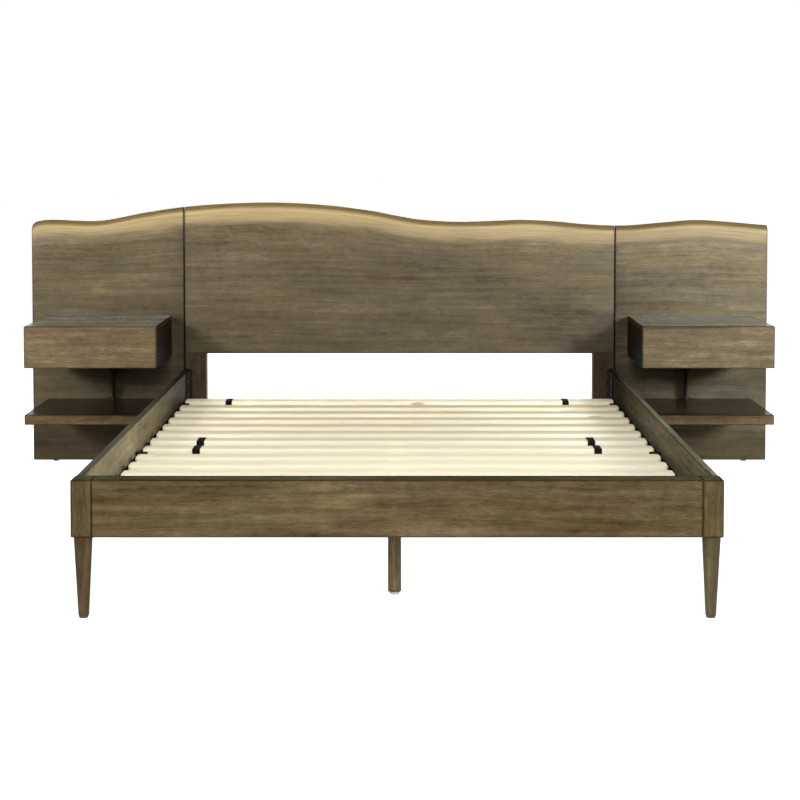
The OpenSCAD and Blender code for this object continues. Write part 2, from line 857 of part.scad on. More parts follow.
module slat_straps() {
    color(webbing) for (side = [-1, 1]) {
        roll_strap(side * strap_spacing / 2 + foot_strap_shift, foot_slat_y[0],
            foot_slat_y[foot_slat_count - 1]);
        roll_strap(side * strap_spacing / 2 + head_strap_shift, head_slat_y[0],
            head_slat_y[head_slat_count - 1]);
    }
}

module stop_peg_places() {
    for (y = stop_slat_y)
        translate([ledger_in + ledger_w / 2, y - stop_gap - stop_d / 2, ledger_top]) children();
}

module slat_stops() {
    color(black_steel) both_sides() {
        for (y = stop_slat_y)
            translate([ledger_in, y - stop_gap - stop_d, ledger_top]) cube([ledger_w, stop_d, stop_h]);
        stop_peg_places() translate([0, 0, -stop_peg_l]) cylinder(d = stop_peg_d, h = stop_peg_l + 1);
    }
}

// ---- nightstands: drawn for the right-hand one ----

module case_top() {
    color(grey_oak) board([stand_in, case_front, box_top - case_t],
        [stand_w, head_front - case_front, case_t], 1);
}

module case_bottom() {
    color(grey_oak) difference() {
        board([stand_in, case_front, box_bottom], [stand_w, head_front - case_front, case_t], 1);
        hanger_top_holes();
    }
}

module case_sides() {
    color(grey_oak) difference() {
        stand_pair() translate([stand_in, case_front, box_bottom + case_t])
            cube([case_t, head_front - case_front, case_inner_h]);
        stand_bolt_holes();
    }
}

module case_back() {
    color(grey_oak) translate([case_inner_in, case_back_front, box_bottom + case_t])
        cube([stand_w - 2 * case_t, case_back_t, case_inner_h]);
}

module drawer_front() {
    color(grey_oak) difference() {
        board([stand_in, stand_front, box_bottom], [stand_w, front_t, box_h]);
        translate([stand_in - 1, drawer_back, box_bottom]) rotate([90, 0, 90])
            linear_extrude(stand_w + 2) polygon([[1, -1], [1, finger_bevel], [-finger_bevel, -1]]);
    }
}

module drawer_groove() {
    translate([drawer_in + drawer_t - groove_d, drawer_back + drawer_t - groove_d, drawer_floor_z])
        cube([drawer_w - 2 * (drawer_t - groove_d), drawer_l - 2 * (drawer_t - groove_d),
            drawer_floor_t + groove_clear]);
}

module drawer_sides() {
    color(pine) difference() {
        stand_pair() translate([drawer_in, drawer_back, drawer_bottom])
            cube([drawer_t, drawer_l, drawer_h]);
        drawer_groove();
    }
}

module drawer_ends() {
    color(pine) difference() {
        for (y = [drawer_back, drawer_end - drawer_t])
            translate([drawer_in + drawer_t, y, drawer_bottom])
                cube([drawer_w - 2 * drawer_t, drawer_t, drawer_h]);
        drawer_groove();
    }
}

module drawer_bottom_board() {
    color(pine) translate([drawer_in + drawer_t - groove_d + groove_clear,
        drawer_back + drawer_t - groove_d + groove_clear, drawer_floor_z])
        cube([drawer_w - 2 * (drawer_t - groove_d + groove_clear),
            drawer_l - 2 * (drawer_t - groove_d + groove_clear), drawer_floor_t]);
}

// Channel from one distance from the case to another, open on one side
module channel(from, to, height, opens_out, start, length) {
    web = opens_out ? from + runner_steel : from - 1;
    rim = opens_out ? to + 1 : to - runner_steel;
    color(bright_steel) stand_pair()
        translate([case_inner_in, start + length, runner_z]) rotate([90, 0, 0])
            linear_extrude(length) difference() {
                translate([from, -height / 2]) square([to - from, height]);
                translate([web, runner_steel - height / 2])
                    square([rim - web, height - 2 * runner_steel]);
            }
}

member_step = runner_steel + slide_clear;

module runner_outer() {
    channel(0, runner_lip, runner_h, true, runner_start, runner_l);
}

module runner_middle() {
    channel(runner_steel + 2 * slide_clear, runner_lip, runner_h - 2 * member_step, true,
        runner_start + runner_end_gap, runner_l - 2 * runner_end_gap);
}

module runner_inner() {
    channel(2 * (runner_steel + 2 * slide_clear), runner_w, runner_h - 4 * member_step, false,
        runner_start + runner_end_gap, runner_l - 2 * runner_end_gap);
}

module shelf() {
    color(grey_oak) difference() {
        board([stand_in, stand_front, shelf_bottom], [stand_w, stand_d, shelf_t]);
        stand_bolt_holes();
        hanger_foot_holes();
    }
}

module shelf_hanger() {
    color(black_steel) difference() {
        union() {
            translate([hanger_x, 0, 0]) rotate([90, 0, 90]) linear_extrude(hanger_t)
                polygon([[head_front - hanger_low_d, shelf_top], [head_front, shelf_top],
                    [head_front, box_bottom], [head_front - hanger_top_d, box_bottom]]);
            translate([hanger_x, head_front - hanger_top_d, box_bottom - hanger_flange_t])
                cube([hanger_flange_w, hanger_top_d, hanger_flange_t]);
            translate([hanger_x, head_front - hanger_foot_d, shelf_top])
                cube([hanger_flange_w, hanger_foot_d, hanger_flange_t]);
        }
        hanger_top_holes();
        hanger_foot_holes();
    }
}

module hanger_top_holes() {
    for (y = hanger_screw_y)
        bolt_hole([hanger_screw_x, y, box_bottom - hanger_flange_t], "+z", screw_d,
            hanger_flange_t + screw_grip);
}

module hanger_foot_holes() {
    bolt_hole([hanger_screw_x, head_front - hanger_foot_d / 2, shelf_top + hanger_flange_t], "-z",
        screw_d, hanger_flange_t + screw_grip);
}

module stand_bolts() {
    for (x = case_bolt_x, z = case_bolt_z)
        bolt([x, head_mid, z], "-y", bolt_d, panel_t + case_bolt_grip, bolt_head_d, bolt_head_h);
    for (x = shelf_bolt_x)
        bolt([x, head_mid, shelf_bottom + shelf_t / 2], "-y", bolt_d, panel_t + shelf_bolt_grip,
            bolt_head_d, bolt_head_h);
}

module stand_bolt_holes() {
    for (x = case_bolt_x, z = case_bolt_z)
        bolt_hole([x, head_mid, z], "-y", bolt_d, panel_t + case_bolt_grip);
    for (x = shelf_bolt_x)
        bolt_hole([x, head_mid, shelf_bottom + shelf_t / 2], "-y", bolt_d, panel_t + shelf_bolt_grip);
}

module nightstand_bolts() {
    color(black_steel) both_sides() {
        stand_bolts();
        for (y = hanger_screw_y)
            bolt([hanger_screw_x, y, box_bottom - hanger_flange_t], "+z", screw_d,
                hanger_flange_t + screw_grip, screw_head_d, screw_head_h);
        bolt([hanger_screw_x, head_front - hanger_foot_d / 2, shelf_top + hanger_flange_t], "-z",
            screw_d, hanger_flange_t + screw_grip, screw_head_d, screw_head_h);
    }
}

// ---- assembly ----

// Moves the bed so that the origin is under the middle of its outline
module placed() {
    translate([0, y_shift, 0]) children();
}

placed() centre_panel();
placed() wing(-1);  // left_wing
placed() wing(1);  // right_wing
placed() on_side(-1) headboard_leg();  // left_headboard_leg
placed() headboard_leg();  // right_headboard_leg
placed() wing_stiles();
placed() panel_battens();
placed() headboard_bolts();
placed() floor_glides();
placed() foot_rail();
placed() on_side(-1) foot_post();  // left_foot_post
placed() foot_post();  // right_foot_post
placed() on_side(-1) foot_leg();  // left_foot_leg
placed() foot_leg();  // right_foot_leg
placed() dowels_and_studs();
placed() on_side(-1) side_rail();  // left_rail
placed() side_rail();  // right_rail
placed() on_side(-1) ledger();  // left_ledger
placed() ledger();  // right_ledger
placed() ledger_screws();
placed() foot_corner_brackets();
placed() head_hook_plates();
placed() bracket_screws();
placed() centre_beam();
placed() beam_hanger();
placed() support_legs();
placed() leveller(support_y[0]);  // leveller_front
placed() leveller(support_y[1]);  // leveller_middle
placed() leveller(support_y[2]);  // leveller_rear
placed() slat_roll(head_slat_y);  // head_slats
placed() slat_roll(foot_slat_y);  // foot_slats
placed() slat_straps();
placed() slat_stops();
placed() on_side(-1) case_top();  // left_case_top
placed() on_side(-1) case_bottom();  // left_case_bottom
placed() on_side(-1) case_sides();  // left_case_sides
placed() on_side(-1) case_back();  // left_case_back
placed() on_side(-1) drawer_front();  // left_drawer_front
placed() on_side(-1) drawer_sides();  // left_drawer_sides
placed() on_side(-1) drawer_ends();  // left_drawer_ends
placed() on_side(-1) drawer_bottom_board();  // left_drawer_bottom
placed() on_side(-1) runner_outer();  // left_runner_outer
placed() on_side(-1) runner_middle();  // left_runner_middle
placed() on_side(-1) runner_inner();  // left_runner_inner
placed() on_side(-1) shelf();  // left_shelf
placed() on_side(-1) shelf_hanger();  // left_shelf_hanger
placed() case_top();  // right_case_top
placed() case_bottom();  // right_case_bottom
placed() case_sides();  // right_case_sides
placed() case_back();  // right_case_back
placed() drawer_front();  // right_drawer_front
placed() drawer_sides();  // right_drawer_sides
placed() drawer_ends();  // right_drawer_ends
placed() drawer_bottom_board();  // right_drawer_bottom
placed() runner_outer();  // right_runner_outer
placed() runner_middle();  // right_runner_middle
placed() runner_inner();  // right_runner_inner
placed() shelf();  // right_shelf
placed() shelf_hanger();  // right_shelf_hanger
placed() nightstand_bolts();
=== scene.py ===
import math

import bpy
import numpy as np
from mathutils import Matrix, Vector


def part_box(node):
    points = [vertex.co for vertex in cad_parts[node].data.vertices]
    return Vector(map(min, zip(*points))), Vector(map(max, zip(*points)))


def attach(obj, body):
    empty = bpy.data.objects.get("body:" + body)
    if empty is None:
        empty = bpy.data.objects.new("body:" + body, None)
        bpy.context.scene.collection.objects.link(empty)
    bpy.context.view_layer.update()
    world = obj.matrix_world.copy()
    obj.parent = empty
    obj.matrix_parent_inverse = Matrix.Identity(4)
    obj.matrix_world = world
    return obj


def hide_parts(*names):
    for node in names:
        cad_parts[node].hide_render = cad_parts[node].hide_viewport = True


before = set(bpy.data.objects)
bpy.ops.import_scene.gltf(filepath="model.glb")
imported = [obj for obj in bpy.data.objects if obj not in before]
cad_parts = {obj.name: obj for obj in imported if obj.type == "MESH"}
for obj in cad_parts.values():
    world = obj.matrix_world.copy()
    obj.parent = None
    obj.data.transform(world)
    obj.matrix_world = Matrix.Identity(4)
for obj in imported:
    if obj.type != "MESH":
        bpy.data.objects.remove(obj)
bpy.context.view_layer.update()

# ---- camera ----
# Stands at the foot end, a little above the headboard's height, and looks almost level. The lens is
# the one that gives the rails' and slats' perspective; the small shift only frames the bed.
picture_px = 800
focal_px = 1650.16
centre_px = (404.22, 225.385)
tilt_down = 2.5
camera_data = bpy.data.cameras.new("camera")
camera_data.sensor_width = 36.0
camera_data.lens = focal_px / picture_px * camera_data.sensor_width
camera_data.shift_x = (picture_px / 2 - centre_px[0]) / picture_px
camera_data.shift_y = -(picture_px / 2 - centre_px[1]) / picture_px
camera_data.clip_end = 100
camera = bpy.data.objects.new("camera", camera_data)
bpy.context.scene.collection.objects.link(camera)
camera.location = (0.01717, -5.0828, 1.1453)
camera.rotation_euler = (math.radians(90 - tilt_down), 0, 0)
bpy.context.scene.camera = camera
bpy.context.scene.view_settings.view_transform = "Standard"


# ---- studio ----
# A white floor that keeps a soft shadow, and a white surround. A wide soft lamp stands in front of the
# bed, weaker ones behind and overhead, and narrow ones light the wings and the left rail from the sides.
def add_node(tree, kind, inputs=(), **settings):
    """Adds a node; inputs are (socket, value or output socket) pairs and settings its properties."""
    made = tree.nodes.new(kind)
    for name, value in settings.items():
        setattr(made, name, value)
    for socket, value in inputs:
        if isinstance(value, bpy.types.NodeSocket):
            tree.links.new(value, made.inputs[socket])
        else:
            made.inputs[socket].default_value = value
    return made


def maths(tree, operation, *values):
    """Result of one operation on one, two or three numbers."""
    return add_node(tree, "ShaderNodeMath", enumerate(values), operation=operation).outputs[0]


def ranged(tree, value, start, stop, low, high, eased=True):
    """Goes from low to high as the value goes from start to stop, with an eased or straight rise."""
    return add_node(tree, "ShaderNodeMapRange", [
        ("Value", value), ("From Min", start), ("From Max", stop), ("To Min", low), ("To Max", high)],
        interpolation_type="SMOOTHSTEP" if eased else "LINEAR").outputs[0]


def seen_by(tree, *kinds):
    """One for the named kinds of ray, which are to see white, and zero for the rays that light things."""
    rays = add_node(tree, "ShaderNodeLightPath")
    seen = rays.outputs[kinds[0]]
    for kind in kinds[1:]:
        seen = maths(tree, "MAXIMUM", seen, rays.outputs[kind])
    return seen


def area_lamp(name, place, size, watts, aim, spread, colour=(1.0, 1.0, 1.0)):
    """Rectangular lamp at a place, its face turned to the aim, its beam as wide as spread degrees."""
    data = bpy.data.lights.new(name, "AREA")
    data.shape = "RECTANGLE"
    data.size, data.size_y = size
    data.energy = watts
    data.color = colour
    data.spread = math.radians(spread)
    lamp = bpy.data.objects.new(name, data)
    bpy.context.scene.collection.objects.link(lamp)
    lamp.location = place
    way = np.array(aim) - np.array(place)
    lamp.rotation_euler = (math.atan2(math.hypot(way[0], way[1]), -way[2]), 0,
                           math.atan2(way[1], way[0]) - math.pi / 2)


area_lamp("front lamp", (0.0, -5.2, 2.2), (2.4, 1.6), watts=112, aim=(0, 0, 0.4), spread=180)
area_lamp("left lamp", (-3.4, -3.4, 1.95), (1.0, 1.0), watts=8.5, aim=(-1.25, 0.9, 0.5), spread=32)
area_lamp("right lamp", (3.4, -3.4, 1.8), (1.0, 1.0), watts=14.2, aim=(1.25, 0.9, 0.5), spread=32,
          colour=(0.92, 1.0, 1.10))
area_lamp("side lamp", (3.6, -1.1, 1.7), (0.8, 0.8), watts=2.5, aim=(-0.78, -0.45, 0.28), spread=28)
area_lamp("back lamp", (0.0, 5.0, 2.4), (2.6, 1.6), watts=60, aim=(0, 1.1, 0.4), spread=120)
area_lamp("overhead lamp", (0.0, -2.3, 3.6), (1.8, 1.4), watts=34, aim=(0, -0.6, 0.0), spread=120)

plain_white = (1, 1, 1, 1)
surround_light = 0.03
world = bpy.data.worlds.new("surround")
bpy.context.scene.world = world
world.use_nodes = True
tree = world.node_tree
tree.nodes.clear()
seen = seen_by(tree, "Is Camera Ray", "Is Glossy Ray", "Is Transmission Ray")
soft_light = add_node(tree, "ShaderNodeBackground", [("Color", plain_white), ("Strength", surround_light)])
white = add_node(tree, "ShaderNodeBackground", [("Color", plain_white), ("Strength", 1.0)])
both = add_node(tree, "ShaderNodeMixShader", [(0, seen), (1, soft_light.outputs[0]),
                                              (2, white.outputs[0])])
add_node(tree, "ShaderNodeOutputWorld", [("Surface", both.outputs[0])])

floor_half = 30.0
shadow_near, shadow_far = 1.6, 3.4
near_white, floor_grey = 0.88, (0.8, 0.8, 0.8, 1)
floor_mesh = bpy.data.meshes.new("floor")
floor_mesh.from_pydata([(-floor_half, -floor_half, 0), (floor_half, -floor_half, 0),
                        (floor_half, floor_half, 0), (-floor_half, floor_half, 0)], [], [(0, 1, 2, 3)])
floor = bpy.data.objects.new("floor", floor_mesh)
bpy.context.scene.collection.objects.link(floor)
floor_paint = bpy.data.materials.new("white floor")
floor_paint.use_nodes = True
tree = floor_paint.node_tree
tree.nodes.clear()
place = add_node(tree, "ShaderNodeTexCoord").outputs["Object"]
away = add_node(tree, "ShaderNodeVectorMath", [(0, place)], operation="LENGTH").outputs["Value"]
white_share = maths(tree, "MULTIPLY", ranged(tree, away, shadow_near, shadow_far, near_white, 1.0),
                    seen_by(tree, "Is Camera Ray", "Is Glossy Ray"))
shade = add_node(tree, "ShaderNodeBsdfDiffuse", [("Color", floor_grey)])
glow = add_node(tree, "ShaderNodeEmission", [("Color", plain_white), ("Strength", white_share)])
both = add_node(tree, "ShaderNodeAddShader", [(0, shade.outputs[0]), (1, glow.outputs[0])])
add_node(tree, "ShaderNodeOutputMaterial", [("Surface", both.outputs[0])])
floor_mesh.materials.append(floor_paint)

# ---- headboard panels ----
# Three upright slabs with a natural edge along their tops: pale sapwood under a hand-dressed bevel,
# then grey-stained heartwood whose grain bends with the edge near the top. Bolted to legs and stiles.
half_width = 1.3625
crown = 0.96297
edge_share = np.array([-1, -0.987, -0.947, -0.844, -0.794, -0.696, -0.598, -0.468, -0.337, -0.205, -0.075,
                       0, 0.056, 0.153, 0.252, 0.333, 0.415, 0.513, 0.611, 0.709, 0.807, 0.905, 0.97, 1])
edge_drop = np.array([83, 70, 64, 69, 64, 38, 18, 4, 0, 9, 31, 51, 63, 71, 68, 64, 69, 81, 85, 75, 65,
                      73, 81, 84]) / 1000


def edge_height(x):
    """Height of the live edge: the crown less a cubic through the edge's drops, each at its share of
    half the width, whose slope at a point is the line's between that point's neighbours."""
    u = x / half_width
    slope = np.empty_like(edge_share)
    slope[1:-1] = (edge_drop[2:] - edge_drop[:-2]) / (edge_share[2:] - edge_share[:-2])
    slope[0] = (edge_drop[1] - edge_drop[0]) / (edge_share[1] - edge_share[0])
    slope[-1] = (edge_drop[-1] - edge_drop[-2]) / (edge_share[-1] - edge_share[-2])
    i = np.clip(np.searchsorted(edge_share, u, side="right") - 1, 0, len(edge_share) - 2)
    wide = edge_share[i + 1] - edge_share[i]
    t = (u - edge_share[i]) / wide
    drop = ((2 * t**3 - 3 * t**2 + 1) * edge_drop[i] + (t**3 - 2 * t**2 + t) * wide * slope[i]
            + (3 * t**2 - 2 * t**3) * edge_drop[i + 1] + (t**3 - t**2) * wide * slope[i + 1])
    return crown - drop


def grid_faces(rows, columns, start=0):
    """Quads between neighbouring points of a grid that closes round its rows."""
    row = np.arange(rows)[:, None]
    column = np.arange(columns - 1)[None, :]
    nearby = (row + 1) % rows
    quads = [row * columns + column, row * columns + column + 1,
             nearby * columns + column + 1, nearby * columns + column]
    return np.stack([np.broadcast_to(q, (rows, columns - 1)) for q in quads], -1).reshape(-1, 4) + start


def build_mesh(name, points, faces, smooth_angle):
    """Mesh from an array of points and a list of faces, smooth where its faces meet gently."""
    mesh = bpy.data.meshes.new(name)
    mesh.from_pydata(points.tolist(), [], faces)
    mesh.update()
    mesh.polygons.foreach_set("use_smooth", np.ones(len(mesh.polygons), bool))
    mesh.set_sharp_from_angle(angle=math.radians(smooth_angle))
    return mesh


def give_uv(mesh, name, first, second):
    """UV map whose two parts are a value for each point of the mesh."""
    corner = np.empty(len(mesh.loops), np.int32)
    mesh.loops.foreach_get("vertex_index", corner)
    layer = mesh.uv_layers.new(name=name)
    layer.data.foreach_set("uv", np.stack([first[corner], second[corner]], -1).ravel())


def give_values(mesh, name, values):
    """Attribute that holds one number for each point of the mesh."""
    layer = mesh.attributes.new(name, "FLOAT", "POINT")
    layer.data.foreach_set("value", values.astype(np.float32))


def place_piece(name, mesh, node):
    """Puts a finished mesh into the scene as a piece on the frame that stands for a CAD node."""
    piece = bpy.data.objects.new(name, mesh)
    bpy.context.scene.collection.objects.link(piece)
    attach(piece, "root")
    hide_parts(node)
    return piece


def live_edge_panel(name, node, columns, shift, figures):
    """Slab whose section is carried along X under the live edge.

    The section goes up the front face in rows that crowd together near the top, over a slightly
    hollow bevel whose width wanders by a sum of three sines, across the top and down the back; its
    outline shrinks a little at both ends, which eases the upright edges. UV map grain holds X and a
    height that follows the edge near the top and the level further down; UV map edge holds X and
    the depth below the live edge; UV map rim holds the distances from the nearer end and from the
    bottom. shift moves the plank's own figure along the grain. figures has rows of X, how light the
    sapwood is there, how light the heartwood is, lower near the drawer boxes as painted shade, and
    how much deeper the sapwood reaches, in millimetres.
    """
    end_ease, foot_ease, back_ease, top_ease = 0.0012, 0.001, 0.002, 0.0015
    face_rows, crowding = 26, 1.6
    bevel_tall, bevel_deep, bevel_rows = 0.0155, 0.0120, (0.12, 0.35, 0.6, 0.82, 0.95)
    hollow_deep, hollow_in, hollow_down = 0.0011, 0.8, 0.6
    waves = ((0.0012, 9.1, 1.0), (0.0008, 23.7, 0.0), (0.0005, 61.3, 2.0))
    bend_depth = 0.12
    low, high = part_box(node)
    x = np.linspace(low.x + end_ease, high.x - end_ease, columns)
    x = np.concatenate([[low.x], x, [high.x]])
    inset = np.where((x <= low.x) | (x >= high.x), end_ease, 0.0)
    front, back, bottom = low.y, high.y, low.z
    top = edge_height(x)
    uneven = sum(wander * np.sin(x * rate + begin) for wander, rate, begin in waves)
    tall, deep = bevel_tall + uneven, bevel_deep + 0.8 * uneven
    face_bottom = bottom + foot_ease
    points = []
    for share in 1 - np.linspace(1, 0, face_rows) ** crowding:
        points.append((front + inset, face_bottom + (top - tall - face_bottom) * share))
    for along in bevel_rows:
        hollow = hollow_deep * np.sin(math.pi * along)
        points.append((front + inset + deep * along + hollow * hollow_in,
                       top - inset - tall * (1 - along) - hollow * hollow_down))
    points.append((front + deep + top_ease + inset, top - inset))
    points.append((back - back_ease - inset, top - inset))
    points.append((back - inset, top - back_ease - inset))
    points.append((back - inset, bottom + foot_ease + inset))
    points.append((back - foot_ease - inset, bottom + inset))
    points.append((front + foot_ease + inset, bottom + inset))
    y = np.stack([np.broadcast_to(p[0], x.shape) for p in points])
    z = np.stack([np.broadcast_to(p[1], x.shape) for p in points])
    co = np.stack([np.broadcast_to(x, y.shape), y, z], -1).reshape(-1, 3)
    faces = grid_faces(len(points), len(x)).tolist()
    ring = np.arange(len(points)) * len(x)
    faces += [ring.tolist(), (ring + len(x) - 1)[::-1].tolist()]
    mesh = build_mesh(name, co, faces, smooth_angle=24)
    depth = (top[None, :] - z).reshape(-1)
    level = (z - crown).reshape(-1)
    follow = np.exp(-np.maximum(depth, 0) / bend_depth)
    from_ends = np.minimum(co[:, 0] - low.x, high.x - co[:, 0])
    give_uv(mesh, "grain", co[:, 0] + shift, -depth * follow + level * (1 - follow))
    give_uv(mesh, "edge", co[:, 0] + shift, depth)
    give_uv(mesh, "rim", from_ends, co[:, 2] - bottom)
    figures = np.array(figures)
    for column, layer_name in ((1, "pale"), (2, "heart"), (3, "reach")):
        give_values(mesh, layer_name, np.interp(co[:, 0], figures[:, 0], figures[:, column]))
    return place_piece(name, mesh, node)


def new_surface(name):
    """New material, its nodes and its shader."""
    surface = bpy.data.materials.new(name)
    surface.use_nodes = True
    return surface, surface.node_tree, surface.node_tree.nodes["Principled BSDF"]


def vector_maths(tree, operation, *values):
    """Result of one operation on one or two vectors."""
    return add_node(tree, "ShaderNodeVectorMath", enumerate(values), operation=operation).outputs[0]


def scaled(tree, vector, share):
    """Vector or colour multiplied by a number."""
    return add_node(tree, "ShaderNodeVectorMath", [(0, vector), ("Scale", share)],
                    operation="SCALE").outputs[0]


def ranged_colour(tree, value, start, stop, low, high):
    """Goes from colour low to colour high as each part of the value goes from start to stop."""
    return add_node(tree, "ShaderNodeMapRange", [
        ("Vector", value), (7, (start, start, start)), (8, (stop, stop, stop)), (9, low), (10, high)],
        data_type="FLOAT_VECTOR").outputs["Vector"]


def stretched_noise(tree, vector, cells, detail, roughness, distortion=0.0):
    """Noise node with so many cells a metre along each of the vector's axes."""
    return add_node(tree, "ShaderNodeTexNoise", [
        ("Vector", vector_maths(tree, "MULTIPLY", vector, cells)), ("Scale", 1.0), ("Detail", detail),
        ("Roughness", roughness), ("Distortion", distortion)])


def daylight(red, green, blue):
    """Linear colour of a tone given as three numbers from 0 to 255, by the usual display curve."""
    tone = np.array([red, green, blue]) / 255
    linear = np.where(tone <= 0.04045, tone / 12.92, ((tone + 0.055) / 1.055) ** 2.4)
    return (*linear.tolist(), 1.0)


def toned(tree, value, places, tones):
    """Colour that runs through tones, each at its place, as the value grows."""
    ramp = add_node(tree, "ShaderNodeValToRGB", [("Fac", value)])
    stops = ramp.color_ramp.elements
    for at in places[1:-1]:
        stops.new(at)
    for stop, at, tone in zip(stops, places, tones):
        stop.position, stop.color = at, daylight(*tone)
    return ramp.outputs["Color"]


def mixed(tree, share, one, other):
    """Colour one, or the other where the share is 1."""
    return add_node(tree, "ShaderNodeMix", [("Factor", share), (6, one), (7, other)],
                    data_type="RGBA").outputs[2]


def raise_surface(tree, shader, height, strength, distance):
    """Gives the surface relief that is a distance high where the height grows by one."""
    bump = add_node(tree, "ShaderNodeBump", [("Height", height), ("Strength", strength),
                                             ("Distance", distance)])
    tree.links.new(bump.outputs[0], shader.inputs["Normal"])


def painted_edge_shade(tree, low, high):
    """Share of the colour left on a board's eased edges, which are darkened as painted shade.

    On a face of the board's box one of the three distances to its sides is nearly zero, and the
    next smallest is the distance to the nearest edge: the least of the pairs' greater ones.
    """
    full_at, none_at, left_light = 0.0012, 0.0048, 0.42
    middle, half = (low + high) / 2, (high - low) / 2
    place = add_node(tree, "ShaderNodeTexCoord").outputs["Object"]
    from_middle = vector_maths(tree, "ABSOLUTE", vector_maths(tree, "SUBTRACT", place, middle))
    inside = vector_maths(tree, "SUBTRACT", half, from_middle)
    inside = add_node(tree, "ShaderNodeSeparateXYZ", [(0, inside)]).outputs
    pairs = [maths(tree, "MAXIMUM", inside[one], inside[other])
             for one, other in (("X", "Y"), ("Y", "Z"), ("X", "Z"))]
    nearest = maths(tree, "MINIMUM", maths(tree, "MINIMUM", pairs[0], pairs[1]), pairs[2])
    return ranged(tree, nearest, full_at, none_at, left_light, 1.0)


def stained_wood(name, turn, tones, plank, coarse=1.0, figure=0.8, rough=0.55, shine=0.09,
                 follow=None, box=None, shares=()):
    """Wood stained in the given tones, from dark to light, its grain along the texture's X.

    Bands, streaks and fibres are noises stretched along the grain, patches and mottle are rounder.
    They add up to one value that runs through the tones, and a slower noise turns the colour warmer
    or greyer. Short dark pores are cut out of it, and fibres and pores also raise the surface. turn
    is the Euler turn that brings the grain along the texture's X, plank picks the board's own
    figure, and with a box the edges are darker, as painted shade. Each of the shares is an axis, two
    places on it and the share of red, green and blue that is left from the second place on, with an
    even passage from the first, where nothing changes; the shares paint light and shade onto the wood.
    """
    wood, tree, shader = new_surface(name)
    if follow:
        source = add_node(tree, "ShaderNodeUVMap", uv_map=follow).outputs["UV"]
    else:
        source = add_node(tree, "ShaderNodeTexCoord").outputs["Object"]
    laid = add_node(tree, "ShaderNodeMapping", [("Vector", source), ("Rotation", turn),
                                                ("Location", (plank, plank * 0.37, plank * 0.71))])
    laid = laid.outputs[0]

    def along_grain(vector, along, across, detail, roughness=0.5, distortion=0.0):
        """Noise with so many cells a metre along the grain and across it."""
        return stretched_noise(tree, vector, (along, across, across), detail, roughness, distortion)

    # The numbers of each noise: cells a metre along the grain and across it, then its detail.
    bend = vector_maths(tree, "SUBTRACT", along_grain(laid, 1.1, 3.0, 2.0, 0.55).outputs["Color"],
                        (0.5, 0.5, 0.5))
    bent = vector_maths(tree, "ADD", laid, vector_maths(tree, "MULTIPLY", bend, (0.0, 0.045, 0.045)))
    bands = along_grain(bent, 3.0, 62 * coarse, 2.0, distortion=0.2).outputs[0]
    streaks = along_grain(bent, 10.0, 210 * coarse, 3.0, 0.55).outputs[0]
    fibres = along_grain(bent, 34.0, 800 * coarse, 2.0).outputs[0]
    patches = along_grain(laid, 2.0, 7.0, 2.0, distortion=0.3).outputs[0]
    mottle = along_grain(laid, 22.0, 34.0, 2.0, distortion=0.8).outputs[0]
    pores = along_grain(bent, 60.0, 1200.0, 2.0).outputs[0]

    def weighed(value, weight, before=0.5):
        """Adds weight * (value - 0.5) to what came before."""
        return maths(tree, "MULTIPLY_ADD", maths(tree, "SUBTRACT", value, 0.5), weight, before)

    value = 0.5
    for part, weight in ((bands, 0.8), (streaks, 0.5), (fibres, 0.4), (patches, 0.9), (mottle, 0.5)):
        value = weighed(part, weight * figure, value)
    colour = toned(tree, value, [0.2 + 0.6 * float(at) for at in np.linspace(0, 1, len(tones))], tones)
    tint = along_grain(laid, 2.6, 14.0, 2.0, distortion=0.4).outputs["Color"]
    colour = vector_maths(tree, "MULTIPLY", colour, ranged_colour(
        tree, tint, 0.3, 0.7, (1.05, 1.0, 0.90), (0.95, 1.0, 1.07)))
    pits = ranged(tree, pores, 0.34, 0.44, 0.55, 1.0, eased=False)
    left_light = maths(tree, "MULTIPLY", pits, painted_edge_shade(tree, *box)) if box else pits
    colour = scaled(tree, colour, left_light)
    for axis, none_at, full_at, share in shares:
        place = add_node(tree, "ShaderNodeTexCoord").outputs["Object"]
        place = add_node(tree, "ShaderNodeSeparateXYZ", [(0, place)]).outputs[axis]
        place = ranged(tree, place, none_at, full_at, 0.0, 1.0, eased=False)
        stained = vector_maths(tree, "MULTIPLY", colour, share)
        colour = add_node(tree, "ShaderNodeMix", [("Factor", place), (4, colour), (5, stained)],
                          data_type="VECTOR").outputs[1]
    raise_surface(tree, shader, weighed(fibres, 0.6, pits), 0.35, 0.0004)
    dull = ranged(tree, streaks, 0.3, 0.7, rough - 0.05, rough + 0.07, eased=False)
    tree.links.new(dull, shader.inputs["Roughness"])
    shader.inputs["Specular IOR Level"].default_value = shine
    tree.links.new(colour, shader.inputs["Base Color"])
    return wood, tree, shader, colour


# The sapwood's tones by depth below the live edge, in millimetres, across the bevel and down the face,
# and each slab's figures along X, as live_edge_panel takes them. The palest tones, at 21.5 and 25 mm
# just under the bevel, are a painted highlight along its lower rim.
sap_end = 0.115
sap_and_highlight_layers = ((0.0, (116, 96, 59)), (9.0, (126, 105, 65)), (13.0, (140, 118, 76)),
              (17.0, (167, 144, 102)), (21.5, (190, 168, 125)), (25.0, (197, 174, 130)),
              (29.5, (184, 161, 117)), (38.0, (184, 160, 117)), (48.0, (173, 151, 111)),
              (57.0, (160, 140, 105)), (65.0, (142, 125, 94)), (75.0, (124, 109, 84)),
              (90.0, (118, 104, 81)), (115.0, (116, 103, 80)))
